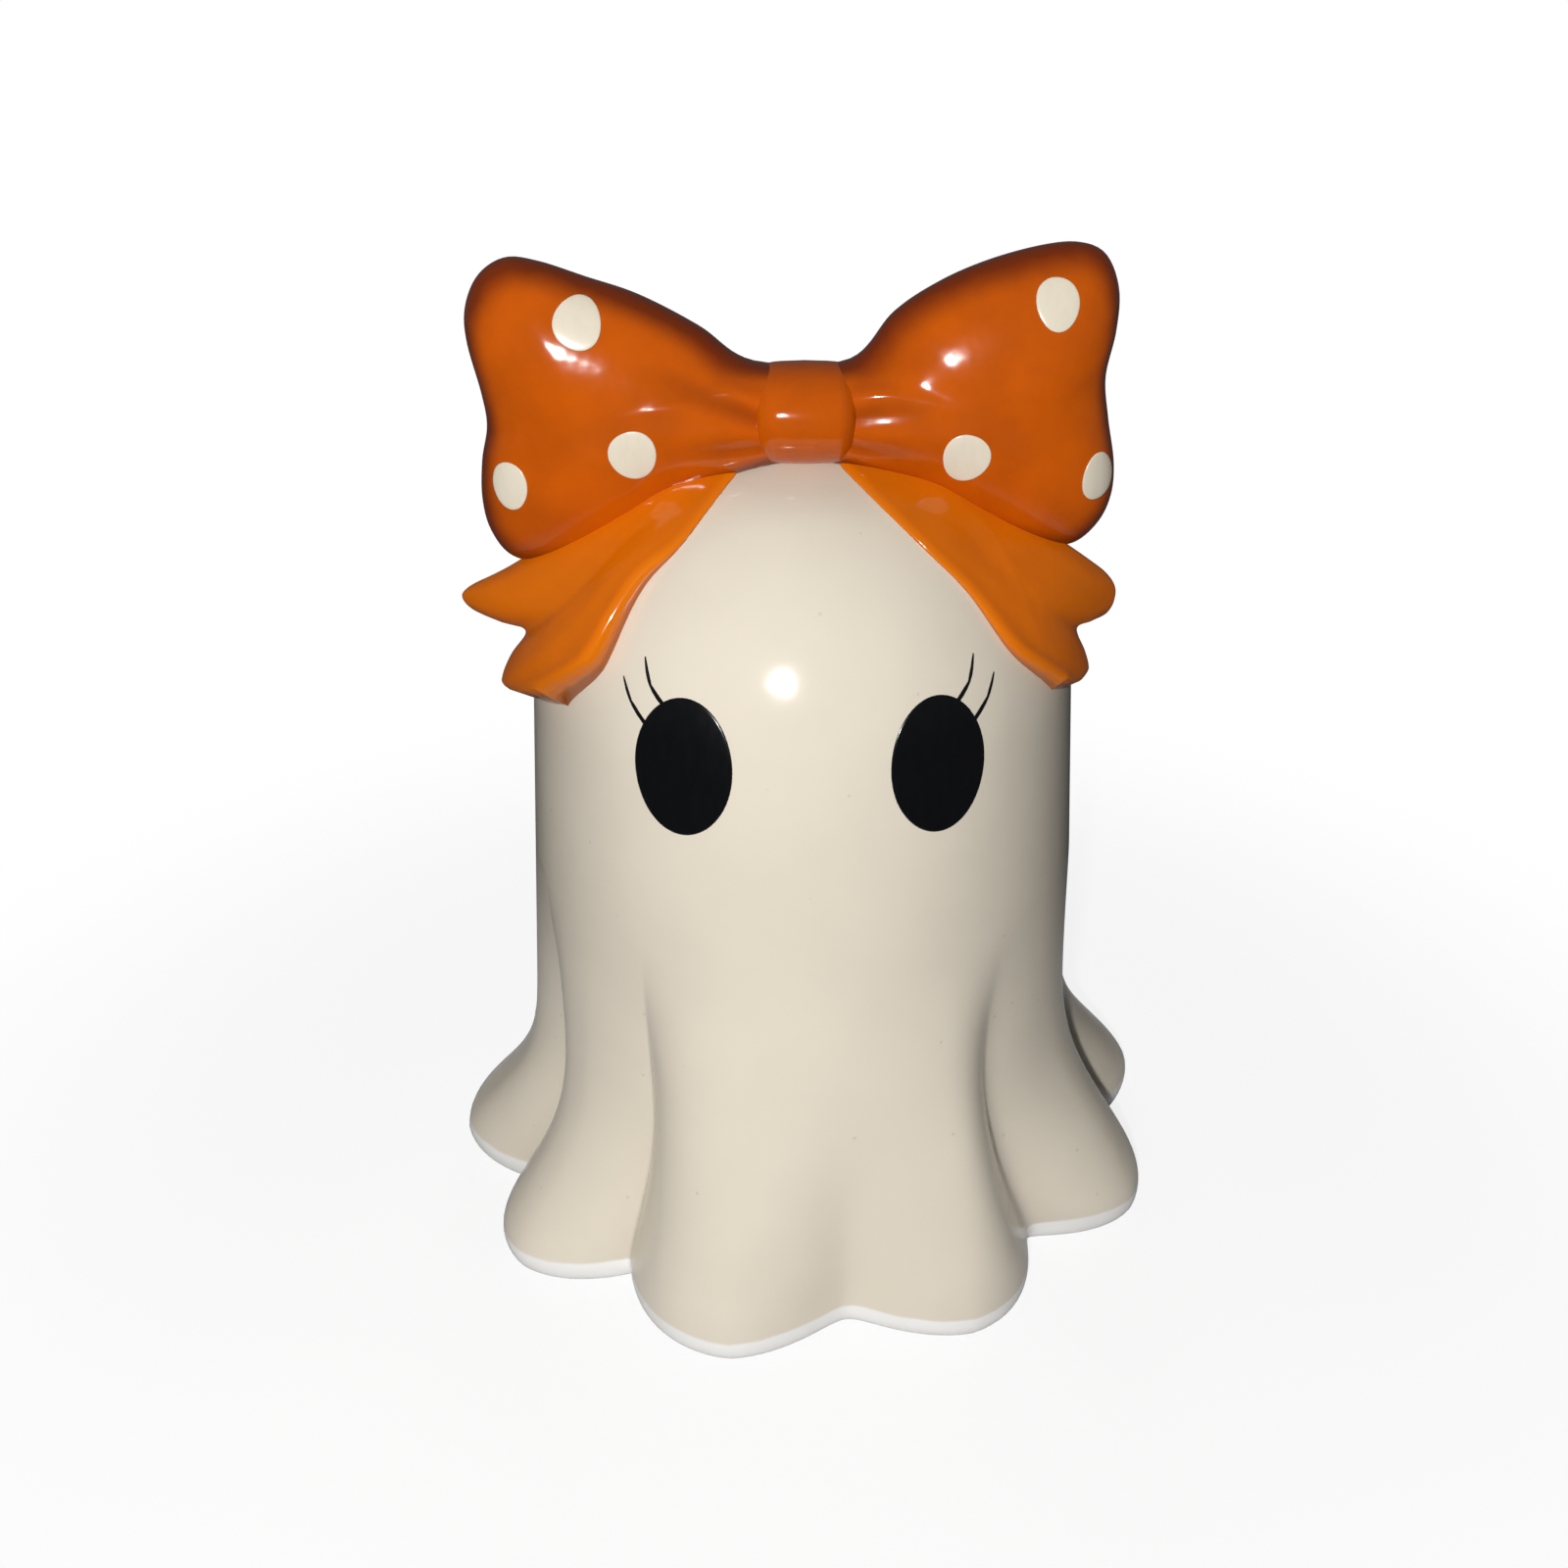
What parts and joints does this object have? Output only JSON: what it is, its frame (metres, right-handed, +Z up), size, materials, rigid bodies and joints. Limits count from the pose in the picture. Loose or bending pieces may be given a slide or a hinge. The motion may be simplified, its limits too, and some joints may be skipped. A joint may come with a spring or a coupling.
{
  "type": "ceramic ghost figure",
  "caption": "Free-standing hollow glazed ceramic sheet ghost with a folded flaring hem, oval eyes with lashes and a polka-dot bow on its head, for seasonal display.",
  "frame": {"origin": "on the table under the middle of the hem", "axes": "+Z up through the crown of the head, -Y the way the face looks, +X to the right as the viewer faces it"},
  "size_m": [0.1952, 0.1922, 0.2318],
  "materials": {
    "cream_glaze": "gloss",
    "orange_glaze": "gloss",
    "black_enamel": "satin",
    "white_enamel": "gloss"
  },
  "bodies": {
    "root": {"ghost_shell": "cream_glaze", "bow_loop_right": "orange_glaze", "bow_loop_left": "orange_glaze", "bow_knot": "orange_glaze", "bow_tail_right": "orange_glaze", "bow_tail_left": "orange_glaze", "eye_right": "black_enamel", "eye_left": "black_enamel", "lash_right_inner": "black_enamel", "lash_right_outer": "black_enamel", "lash_left_inner": "black_enamel", "lash_left_outer": "black_enamel", "dot_right_front_upper": "white_enamel", "dot_right_front_middle": "white_enamel", "dot_right_front_edge": "white_enamel", "dot_right_back_upper": "white_enamel", "dot_right_back_middle": "white_enamel", "dot_right_back_edge": "white_enamel", "dot_left_front_upper": "white_enamel", "dot_left_front_middle": "white_enamel", "dot_left_front_edge": "white_enamel", "dot_left_back_upper": "white_enamel", "dot_left_back_middle": "white_enamel", "dot_left_back_edge": "white_enamel"}
  },
  "joints": []
}
